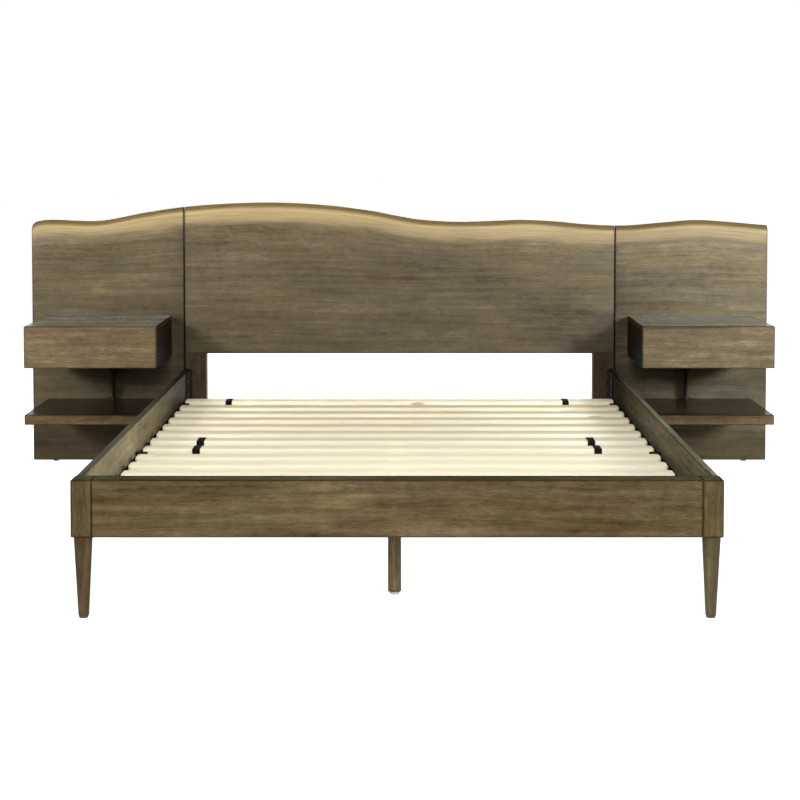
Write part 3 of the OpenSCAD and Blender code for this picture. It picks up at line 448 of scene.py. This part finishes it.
# Painted shade: in the heart column the slabs are darker next to the drawer boxes, where the boxes' shadow
# falls. This is at both wings' inner ends and at the centre slab's right end.
centre_figures = ((-0.80, 1.00, 1.00, 0), (-0.60, 1.00, 1.12, 5), (-0.30, 1.05, 1.02, 5),
                  (0.0, 0.96, 0.92, 3), (0.25, 0.90, 0.88, 4), (0.50, 0.89, 0.96, 8),
                  (0.62, 0.75, 0.86, 18), (0.80, 0.69, 0.80, 8))
left_figures = ((-1.36, 0.86, 0.98, 4), (-1.25, 0.90, 0.95, -6), (-1.11, 0.88, 0.88, -12),
                (-1.00, 0.93, 0.85, 4), (-0.85, 0.89, 0.81, 8), (-0.80, 0.89, 0.68, 8))
right_figures = ((0.80, 0.56, 0.60, 0), (0.85, 0.60, 0.80, 0), (1.00, 0.64, 0.96, 2),
                 (1.10, 0.69, 1.10, 5), (1.36, 0.66, 1.12, 6))
panel_wood, tree, shader, heartwood = stained_wood(
    "panel wood", (0, 0, 0), [(72, 62, 46), (90, 79, 59), (102, 90, 68), (122, 108, 82)],
    plank=3.1, rough=0.5, follow="grain")


def point_value(name):
    """Number that live_edge_panel gave to each point of the slab."""
    return add_node(tree, "ShaderNodeAttribute", attribute_name=name).outputs["Fac"]


# Depth below the edge, and the same depth moved up and down by the border's own unevenness, which
# grows from nothing at the bevel. A reach of one moves the border down by a millimetre.
border_sway = 0.075
edge_map = add_node(tree, "ShaderNodeUVMap", uv_map="edge").outputs["UV"]
depth = add_node(tree, "ShaderNodeSeparateXYZ", [(0, edge_map)]).outputs["Y"]
wander = stretched_noise(tree, edge_map, (2.4, 14.0, 1.0), 4.0, 0.68).outputs[0]
wander = maths(tree, "MULTIPLY_ADD", point_value("reach"), 0.001 / border_sway,
               maths(tree, "SUBTRACT", wander, 0.5))
sway = ranged(tree, depth, 0.018, 0.06, 0.0, -border_sway, eased=False)
wandered = maths(tree, "MULTIPLY_ADD", wander, sway, depth)

# Sapwood: its layers' tones, with the painted highlight under the bevel, shaded by fine level grain.
sap_colour = toned(tree, maths(tree, "DIVIDE", wandered, sap_end),
                   [millimetres / 1000 / sap_end for millimetres, tone in sap_and_highlight_layers],
                   [tone for millimetres, tone in sap_and_highlight_layers])
sap_shade = stretched_noise(tree, edge_map, (7.0, 230.0, 1.0), 4.0, 0.6).outputs[0]
sap_shade = ranged(tree, sap_shade, 0.3, 0.7, 0.78, 1.16, eased=False)
sap_colour = scaled(tree, sap_colour, maths(tree, "MULTIPLY", sap_shade, point_value("pale")))

# Heartwood: lighter under the sapwood, darker further down, which is partly its own tone and partly
# painted shade, and darkest at the wings' feet just below the shelves, which is painted shade.
fade_and_shade = maths(tree, "MULTIPLY", ranged(tree, depth, 0.10, 0.46, 1.27, 0.80, eased=False),
             ranged(tree, depth, 0.06, 0.15, 1.2, 1.0, eased=False))
heart_colour = scaled(tree, heartwood, maths(tree, "MULTIPLY", fade_and_shade, point_value("heart")))
heart_colour = vector_maths(tree, "MULTIPLY", heart_colour, ranged_colour(
    tree, depth, 0.70, 0.80, (1.0, 1.0, 1.0), (0.66, 0.60, 0.53)))

# Both together, with a dark line along the upright and the lower edges, which is painted shade in the
# seams and on the edges that face down.
slab_colour = mixed(tree, ranged(tree, wandered, 0.058, 0.088, 1.0, 0.0), heart_colour, sap_colour)
rim = add_node(tree, "ShaderNodeUVMap", uv_map="rim").outputs["UV"]
rim = add_node(tree, "ShaderNodeSeparateXYZ", [(0, rim)])
rim = maths(tree, "MINIMUM", rim.outputs["X"], rim.outputs["Y"])
slab_colour = scaled(tree, slab_colour, ranged(tree, rim, 0.0008, 0.005, 0.32, 1.0))
tree.links.new(slab_colour, shader.inputs["Base Color"])
for name, node, columns, shift, figures in (
        ("centre_slab", "centre_panel", 320, 0.0, centre_figures),
        ("left_wing_slab", "left_wing", 120, 6.9, left_figures),
        ("right_wing_slab", "right_wing", 120, 12.4, right_figures)):
    live_edge_panel(name, node, columns, shift, figures).data.materials.append(panel_wood)


# ---- headboard legs, stiles and battens ----
# Two legs, four stiles and two battens behind the panels, solid wood under a dark stain and a thin
# satin varnish. They are bolted through with black coated bolts and stand on brown plastic glides.
def dress(material, *nodes):
    """Gives CAD nodes a material in place of the one they came with."""
    for node in nodes:
        for material_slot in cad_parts[node].material_slots:
            material_slot.material = material


def board(node, along, tones, plank, shaped=False, **looks):
    """Stained wood for one CAD node, with its own figure and, unless it is shaped, darker edges."""
    planks_apart = 0.37
    turn = {"x": (0, 0, 0), "y": (0, 0, -math.pi / 2), "z": (0, math.pi / 2, 0)}[along]
    made = stained_wood(node + " wood", turn, tones, plank=planks_apart * plank,
                        box=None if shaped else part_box(node), **looks)
    dress(made[0], node)


def coated(name, tone, grain_size=0.0012, relief=0.0002, metallic=0.0, rough=0.6, shine=0.5):
    """Metal or plastic whose tone and gloss vary by a fine even grain, which also raises it."""
    cloud_cells, darkest, lightest = 14.0, 0.85, 1.12
    coat, tree, shader = new_surface(name)
    source = add_node(tree, "ShaderNodeTexCoord").outputs["Object"]
    grain = add_node(tree, "ShaderNodeTexNoise", [("Vector", source), ("Scale", 1 / grain_size),
                                                  ("Detail", 3.0)]).outputs[0]
    cloud = add_node(tree, "ShaderNodeTexNoise", [("Vector", source), ("Scale", cloud_cells),
                                                  ("Detail", 2.0)]).outputs[0]
    value = ranged(tree, maths(tree, "ADD", grain, cloud), 0.6, 1.4, 0.0, 1.0, eased=False)
    tones = [[min(255, share * part) for part in tone] for share in (darkest, lightest)]
    tree.links.new(toned(tree, value, (0.0, 1.0), tones), shader.inputs["Base Color"])
    dull = ranged(tree, value, 0.0, 1.0, rough - 0.06, rough + 0.08, eased=False)
    tree.links.new(dull, shader.inputs["Roughness"])
    raise_surface(tree, shader, grain, 0.4, relief)
    shader.inputs["Metallic"].default_value = metallic
    shader.inputs["Specular IOR Level"].default_value = shine
    return coat


frame_tones = [(75, 62, 41), (100, 85, 58), (118, 102, 73), (142, 124, 91)]
black_coat = coated("black powder coat", (26, 22, 15), rough=0.7, shine=0.05)
board("left_headboard_leg", "z", [(50, 39, 25), (67, 53, 34), (81, 65, 43), (99, 81, 55)], plank=13)
board("right_headboard_leg", "z", [(41, 31, 20), (54, 41, 26), (66, 51, 33), (81, 64, 43)], plank=24)
board("wing_stiles", "z", frame_tones, plank=33, shaped=True)
board("panel_battens", "z", frame_tones, plank=34, shaped=True)
dress(black_coat, "headboard_bolts")
dress(coated("brown plastic", (92, 84, 72)), "floor_glides")


# ---- side rails ----
# Two stained rails, hooked to the headboard legs with black steel plates and screwed to corner plates
# at the foot. Dark ledgers screwed to their inner faces carry the slats, between black plastic stops.
# The rails' darkening towards the head and their darker top faces are painted shade, and the left
# rail's lighter tones are painted light on its inner face.
def painted_top_light(node, share):
    """Share of red, green and blue painted onto a node's upper face for the light that falls there:
    painted shade where the face is darker, painted sheen where it is lighter. It starts a little below
    the face, so that only the face and its eased edges have it."""
    none_below, full_below = 0.0016, 0.0006
    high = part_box(node)[1].z
    return "Z", high - none_below, high - full_below, share


# The ledgers' near-black tones are their dark stain darkened further, as painted shade in the gaps between
# the slats' ends.
ledger_tones_and_shade = [(24, 20, 15), (34, 28, 21), (42, 35, 27), (54, 46, 36)]
# Painted shade: the rails grow darker towards the head end and on their top faces. The left rail's lighter
# tones stand for the light on its inner face.
head_end_shade = (0.68, 0.68, 0.66)
for side, plank, shine, rail_tones, rail_top_shade, shade_towards_head in (
        ("left", 11, 0.03, [(105, 96, 70), (134, 124, 95), (154, 143, 113), (181, 169, 138)],
         (0.18, 0.185, 0.18), (0.33, 0.33, 0.36)),
        ("right", 22, 0.0, [(93, 87, 69), (119, 111, 92), (137, 129, 109), (160, 152, 131)],
         (0.85, 0.93, 0.92), (0.36, 0.36, 0.38))):
    rail = side + "_rail"
    board(rail, "y", rail_tones, plank=plank, shine=shine,
          shares=[("Y", 0.1, 0.95, shade_towards_head), ("Y", 0.2, 0.6, head_end_shade), painted_top_light(rail, rail_top_shade)])
    board(side + "_ledger", "y", ledger_tones_and_shade, plank=plank + 1, shine=0.0)
zinc = coated("zinc plate", (188, 190, 194), grain_size=0.0008, relief=0.00005, metallic=1.0,
              rough=0.32)
dress(black_coat, "foot_corner_brackets", "head_hook_plates")
dress(coated("blackened screws", (30, 30, 31), grain_size=0.0009, relief=0.0001, rough=0.5),
      "bracket_screws")
dress(zinc, "ledger_screws")
dress(coated("black plastic", (23, 21, 15), grain_size=0.0009, relief=0.0003, rough=0.7, shine=0.08),
      "slat_stops")

# ---- foot end ----
# A stained rail between two posts, joined with dowels, on turned and tapered legs that screw into the
# posts with zinc-plated studs. Rail and posts have a darker, greyer upper face, which is painted
# shade in the cool tint of the light from above.
post_tones = [(78, 65, 43), (104, 89, 61), (123, 106, 77), (147, 129, 96)]
foot_top_shade = (0.52, 0.64, 0.72)
board("foot_rail", "x", frame_tones, plank=10, shine=0.0, shares=[painted_top_light("foot_rail", foot_top_shade)])
for side, plank, leg_tones in (
        ("left", 14, [(66, 53, 34), (88, 72, 47), (104, 87, 60), (125, 107, 76)]),
        ("right", 25, [(72, 62, 42), (96, 84, 58), (112, 101, 74), (135, 123, 93)])):
    post = side + "_foot_post"
    board(post, "z", post_tones, plank=plank, shine=0.0, shares=[painted_top_light(post, foot_top_shade)])
    board(side + "_foot_leg", "z", leg_tones, plank=plank + 1, shaped=True)
dress(zinc, "dowels_and_studs")


# ---- centre support ----
# A planed pine beam under the slats, hung from the foot rail on a black steel hanger. It stands on
# three square stained legs, with white nylon levellers that screw into their ends.
def pine_wood(name, turn, sticks=False):
    """Pale planed pine, its grain along the texture's X.

    Bands, fibres and stain are noises stretched along the grain, and their weighed sum runs through
    the tones. Knots are the middles of some cells of a stretched cell pattern. With sticks, each
    slat's own number makes it lighter or darker and moves its figure.
    """
    pine_tones = ((214, 190, 146), (236, 220, 180), (244, 231, 198), (248, 240, 212))
    knot_brown, cells_without = daylight(150, 104, 62), 0.74
    pine, tree, shader = new_surface(name)
    source = add_node(tree, "ShaderNodeTexCoord").outputs["Object"]
    laid = add_node(tree, "ShaderNodeMapping", [("Vector", source), ("Rotation", turn)]).outputs[0]
    stick = 0.5
    if sticks:
        stick = add_node(tree, "ShaderNodeAttribute", attribute_name="stick").outputs["Fac"]
        jump = add_node(tree, "ShaderNodeCombineXYZ", [("X", stick), ("Z", stick)]).outputs[0]
        laid = vector_maths(tree, "ADD", laid, vector_maths(tree, "MULTIPLY", jump, (17.0, 0.0, 9.0)))
    bands = stretched_noise(tree, laid, (1.3, 70.0, 70.0), 3.0, 0.55).outputs[0]
    fibres = stretched_noise(tree, laid, (14.0, 620.0, 620.0), 3.0, 0.55).outputs[0]
    stain = stretched_noise(tree, laid, (3.0, 9.0, 9.0), 2.0, 0.55).outputs[0]
    value = 0.10
    for part, weight in ((bands, 0.55), (fibres, 0.25), (stain, 0.30), (stick, 0.14)):
        value = maths(tree, "MULTIPLY_ADD", part, weight, value)
    colour = toned(tree, value, (0.36, 0.5, 0.62, 0.8), pine_tones)
    cells = vector_maths(tree, "MULTIPLY", laid, (4.0, 16.0, 16.0))
    cells = add_node(tree, "ShaderNodeTexVoronoi", [("Vector", cells), ("Scale", 1.0)])
    chosen = add_node(tree, "ShaderNodeSeparateColor", [(0, cells.outputs["Color"])]).outputs[0]
    knot = maths(tree, "MULTIPLY", ranged(tree, cells.outputs["Distance"], 0.05, 0.14, 0.65, 0.0),
                 maths(tree, "GREATER_THAN", chosen, cells_without))
    tree.links.new(mixed(tree, knot, colour, knot_brown), shader.inputs["Base Color"])
    raise_surface(tree, shader, fibres, 0.3, 0.0003)
    dull = ranged(tree, fibres, 0.0, 1.0, 0.48, 0.66, eased=False)
    tree.links.new(dull, shader.inputs["Roughness"])
    shader.inputs["Specular IOR Level"].default_value = 0.35
    return pine


pine_lengthways = pine_wood("pine lengthways", (0, 0, -math.pi / 2))
dress(pine_lengthways, "centre_beam")
dress(black_coat, "beam_hanger")
# Painted light: the support legs' tones are lighter than the frame's stain. This stands for the light that
# the floor throws onto them under the bed.
board("support_legs", "z", [(99, 85, 59), (127, 111, 79), (147, 130, 95), (172, 154, 118)], plank=35)
dress(coated("white nylon", (246, 246, 243), grain_size=0.0015, relief=0.0001, rough=0.5),
      "leveller_front", "leveller_middle", "leveller_rear")


# ---- slats ----
# Planed pine slats in two rolls, with rounded long edges and rounded corners. Each is cut from its
# own stick, so their tones and grain differ a little. They lie on the ledgers.
slat_gap, slat_edge_r = 0.052, 0.0045


def node_spans(node, axis, gap):
    """Lowest and highest value of each separate run of a CAD node's points along an axis."""
    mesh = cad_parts[node].data
    points = np.empty(len(mesh.vertices) * 3)
    mesh.vertices.foreach_get("co", points)
    values = np.sort(points.reshape(-1, 3)[:, axis])
    cuts = np.flatnonzero(np.diff(values) > gap)
    return list(zip(values[np.r_[0, cuts + 1]], values[np.r_[cuts, len(values) - 1]]))


def slat_roll(name, node):
    """Slats as rounded sections carried along X, narrowed at both ends by the corners' quarter arcs.

    The attribute stick holds each slat's own random number, lowered the further the slat lies
    towards the head, which paints shade onto the far slats.
    """
    corner_r, edge_r, end_ease = 0.010, slat_edge_r, 0.0012
    around, painted_shade_from, painted_shade_by = 24, 0.1, 1.3
    low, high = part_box(node)
    turn = np.linspace(0, 2 * math.pi, around, endpoint=False) + math.pi / around
    spans = node_spans(node, 1, slat_gap)
    near = np.array([0.0, 0.0006, 0.0018, 0.0036, 0.0060, 0.0085, 0.0110])
    along = np.concatenate([low.x + near, np.linspace(low.x, high.x, 9)[1:-1], high.x - near[::-1]])
    reach = np.minimum(along - low.x, high.x - along)
    pull = corner_r - np.sqrt(np.maximum(corner_r**2 - np.maximum(corner_r - reach, 0) ** 2, 0))
    flat = np.maximum(end_ease - reach, 0)
    all_points, all_faces, sticks = [], [], []
    own_seed = len(spans) * 7 + len(name)
    random = np.random.default_rng(own_seed)
    for y0, y1 in spans:
        half_w, half_t = (y1 - y0) / 2, (high.z - low.z) / 2
        ring_y = np.sign(np.cos(turn)) * (half_w - edge_r) + edge_r * np.cos(turn)
        ring_z = np.sign(np.sin(turn)) * (half_t - edge_r) + edge_r * np.sin(turn)
        keep = (half_w - pull) / half_w
        y = (y0 + y1) / 2 + ring_y[:, None] * keep[None, :]
        z = (low.z + high.z) / 2 + ring_z[:, None] * (1 - flat / half_t)[None, :]
        start = sum(len(p) for p in all_points)
        all_points.append(np.stack([np.broadcast_to(along, y.shape), y, z], -1).reshape(-1, 3))
        all_faces += grid_faces(around, len(along), start)[:, ::-1].tolist()
        ring = start + np.arange(around) * len(along)
        all_faces += [ring[::-1].tolist(), (ring + len(along) - 1).tolist()]
        sticks.append(np.full(y.size, random.random() - painted_shade_by * max(0.0, y0 - painted_shade_from)))
    mesh = build_mesh(name, np.concatenate(all_points), all_faces, smooth_angle=30)
    give_values(mesh, "stick", np.concatenate(sticks))
    return place_piece(name, mesh, node)


slat_pine = pine_wood("planed pine", (0, 0, 0), sticks=True)
for name, node in (("foot_roll_slats", "foot_slats"), ("head_roll_slats", "head_slats")):
    slat_roll(name, node).data.materials.append(slat_pine)

# ---- webbing ----
# Woven black webbing that holds each roll's slats at their distance: it lies under the slats and is
# wrapped once round the roll's first and last slat. The two rolls' straps are a little out of line.
strap_width, strap_thick, strap_gap = 0.023, 0.0014, 0.2
strap_shift = {"foot_slats": 0.002, "head_slats": -0.002}


def weave_material():
    """Black narrow webbing: sine ridges along the strap times sine ridges across it, from its UV map
    in metres, which give both the tone and the relief."""
    ridge_along, ridge_across = 0.0022, 0.0016
    cloth, tree, shader = new_surface("black webbing")
    strap_map = add_node(tree, "ShaderNodeUVMap", uv_map="strap").outputs["UV"]
    parts = add_node(tree, "ShaderNodeSeparateXYZ", [(0, strap_map)]).outputs
    ridges = [maths(tree, "SINE", maths(tree, "MULTIPLY", parts[axis], 2 * math.pi / ridge))
              for axis, ridge in (("X", ridge_along), ("Y", ridge_across))]
    weave = ranged(tree, maths(tree, "MULTIPLY", *ridges), -1.0, 1.0, 0.0, 1.0, eased=False)
    tree.links.new(toned(tree, weave, (0.0, 1.0), ((12, 10, 6), (30, 27, 20))),
                   shader.inputs["Base Color"])
    raise_surface(tree, shader, weave, 0.6, 0.0004)
    shader.inputs["Roughness"].default_value = 0.8
    shader.inputs["Specular IOR Level"].default_value = 0.06
    return cloth


def wrapped_strap(x_mid, first, last, low_z, high_z):
    """Ribbon carried along its side view: tucked behind the first slat, up and over it, back under
    all the slats, and once round the last. The path's corners are quarter arcs, and the ribbon's
    section is a flat lens that narrows to its rims."""
    clearance, tucked_up = 0.0002, 0.0006
    radius = slat_edge_r + strap_thick / 2
    away = strap_thick / 2 + clearance
    tuck = low_z + tucked_up

    def corner(y, z, start, stop):
        """Quarter arc about a middle, from one angle to another in degrees."""
        angle = np.radians(np.linspace(start, stop, 7))
        return np.stack([y + radius * np.cos(angle), z + radius * np.sin(angle)], -1)

    lo, hi = low_z - away + radius, high_z + away - radius
    f0, f1 = first[0] - away + radius, first[1] + away - radius
    l0, l1 = last[0] - away + radius, last[1] + away - radius
    path = np.concatenate([
        [[first[1] + away, tuck]], corner(f1, hi, 0, 90), corner(f0, hi, 90, 180),
        corner(f0, lo, 180, 270), corner(l1, lo, 270, 360), corner(l1, hi, 0, 90),
        corner(l0, hi, 90, 180), [[last[0] - away, tuck]]])
    step = np.gradient(path, axis=0)
    length = np.concatenate([[0], np.cumsum(np.linalg.norm(np.diff(path, axis=0), axis=1))])
    normal = np.stack([-step[:, 1], step[:, 0]], -1)
    normal /= np.linalg.norm(normal, axis=1, keepdims=True)
    rim = 0.92
    across = np.array([-1, -rim, 0, rim, 1, rim, 0, -rim]) * strap_width / 2
    depth = np.array([0, 1, 1, 1, 0, -1, -1, -1]) * strap_thick / 2
    y = path[None, :, 0] + depth[:, None] * normal[None, :, 0]
    z = path[None, :, 1] + depth[:, None] * normal[None, :, 1]
    x = np.broadcast_to(x_mid + across[:, None], y.shape)
    uv = np.stack([np.broadcast_to(length, y.shape), x - x_mid], -1)
    return np.stack([x, y, z], -1).reshape(-1, 3), uv.reshape(-1, 2), (len(across), len(path))


webbing_points, webbing_uv, webbing_faces = [], [], []
for node in ("foot_slats", "head_slats"):
    rows = node_spans(node, 1, slat_gap)
    low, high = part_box(node)
    for x0, x1 in node_spans("slat_straps", 0, strap_gap):
        points, uv, (around, steps) = wrapped_strap((x0 + x1) / 2 + strap_shift[node], rows[0], rows[-1],
                                                    low.z, high.z)
        start = sum(len(p) for p in webbing_points)
        webbing_points.append(points)
        webbing_uv.append(uv)
        webbing_faces += grid_faces(around, steps, start)[:, ::-1].tolist()
        ring = start + np.arange(around) * steps
        webbing_faces += [ring[::-1].tolist(), (ring + steps - 1).tolist()]
mesh = build_mesh("webbing_straps", np.concatenate(webbing_points), webbing_faces,
                  smooth_angle=40)
give_uv(mesh, "strap", *np.concatenate(webbing_uv).T)
mesh.materials.append(weave_material())
place_piece("webbing_straps", mesh, "slat_straps")


# ---- nightstands ----
# Each wing carries a drawer box of stained boards and, on a bronze-coated steel hanger below it, a
# thick open shelf, bolted through the wing. The pine drawer runs on zinc-plated runners behind its front.
def bed_side(node, deep, share):
    """Share of red, green and blue left where a node is nearer than deep to its side by the bed: painted
    shade on the faces turned to the bed.
    """
    passage = 0.001
    low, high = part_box(node)
    near = min(low.x, high.x, key=abs)
    way = math.copysign(1, near)
    return "X", near + way * (deep + passage), near + way * deep, share


box_tones = [(66, 53, 35), (88, 73, 50), (103, 87, 62), (130, 112, 82)]
shelf_tones = [(56, 46, 31), (76, 62, 42), (91, 76, 53), (112, 96, 68)]
# Painted sheen: the case tops are lighter and bluer, for the cool light they reflect.
box_top_sheen = (2.15, 3.0, 4.8)
# Painted reflection: the right shelf is lighter at its outer end, for the brighter surroundings it
# mirrors there; the left one is not.
shelf_end_light = {"left": [], "right": [("X", 1.16, 1.34, (1.3, 1.32, 1.34))]}
# Painted shade by the bed: top and bottom are darker only on the skin of their ends, the side board
# throughout.
skin, side_board = 0.0006, 0.1
pine_sideways = pine_wood("pine sideways", (0, 0, 0))
bronze_coat = coated("bronze powder coat", (52, 44, 36), shine=0.2)
# Painted shade: the shelves' tops are darker, for the shade under the boxes above them.
for side, plank, front_tones, inner, shelf_top_shade in (
        ("left", 16, [(68, 56, 38), (91, 76, 53), (106, 91, 66), (132, 115, 86)],
         (0.14, 0.145, 0.14), (0.25, 0.25, 0.255)),
        ("right", 27, [(62, 51, 34), (82, 69, 48), (96, 82, 59), (119, 104, 77)],
         (0.072, 0.075, 0.06), (0.36, 0.365, 0.375))):
    top, bottom, sides = side + "_case_top", side + "_case_bottom", side + "_case_sides"
    shelf = side + "_shelf"
    board(side + "_drawer_front", "x", front_tones, plank=plank, coarse=0.8, figure=0.85)
    board(top, "x", box_tones, plank=plank + 1, coarse=0.8, rough=0.17,
          shares=[painted_top_light(top, box_top_sheen), bed_side(top, skin, inner)])
    board(bottom, "x", box_tones, plank=plank + 2, coarse=0.8, shine=0.03,
          shares=[bed_side(bottom, skin, inner)])
    board(side + "_case_back", "x", box_tones, plank=plank + 3, coarse=0.8)
    board(sides, "y", box_tones, plank=plank + 4, shaped=True, shine=0.03,
          shares=[bed_side(sides, side_board, inner)])
    board(shelf, "x", shelf_tones, plank=plank + 5, coarse=0.8, rough=0.14, shine=0.04,
          shares=[painted_top_light(shelf, shelf_top_shade), *shelf_end_light[side]])
    dress(pine_sideways, side + "_drawer_ends", side + "_drawer_bottom")
    dress(pine_lengthways, side + "_drawer_sides")
    dress(zinc, side + "_runner_outer", side + "_runner_middle", side + "_runner_inner")
    dress(bronze_coat, side + "_shelf_hanger")
dress(black_coat, "nightstand_bolts")
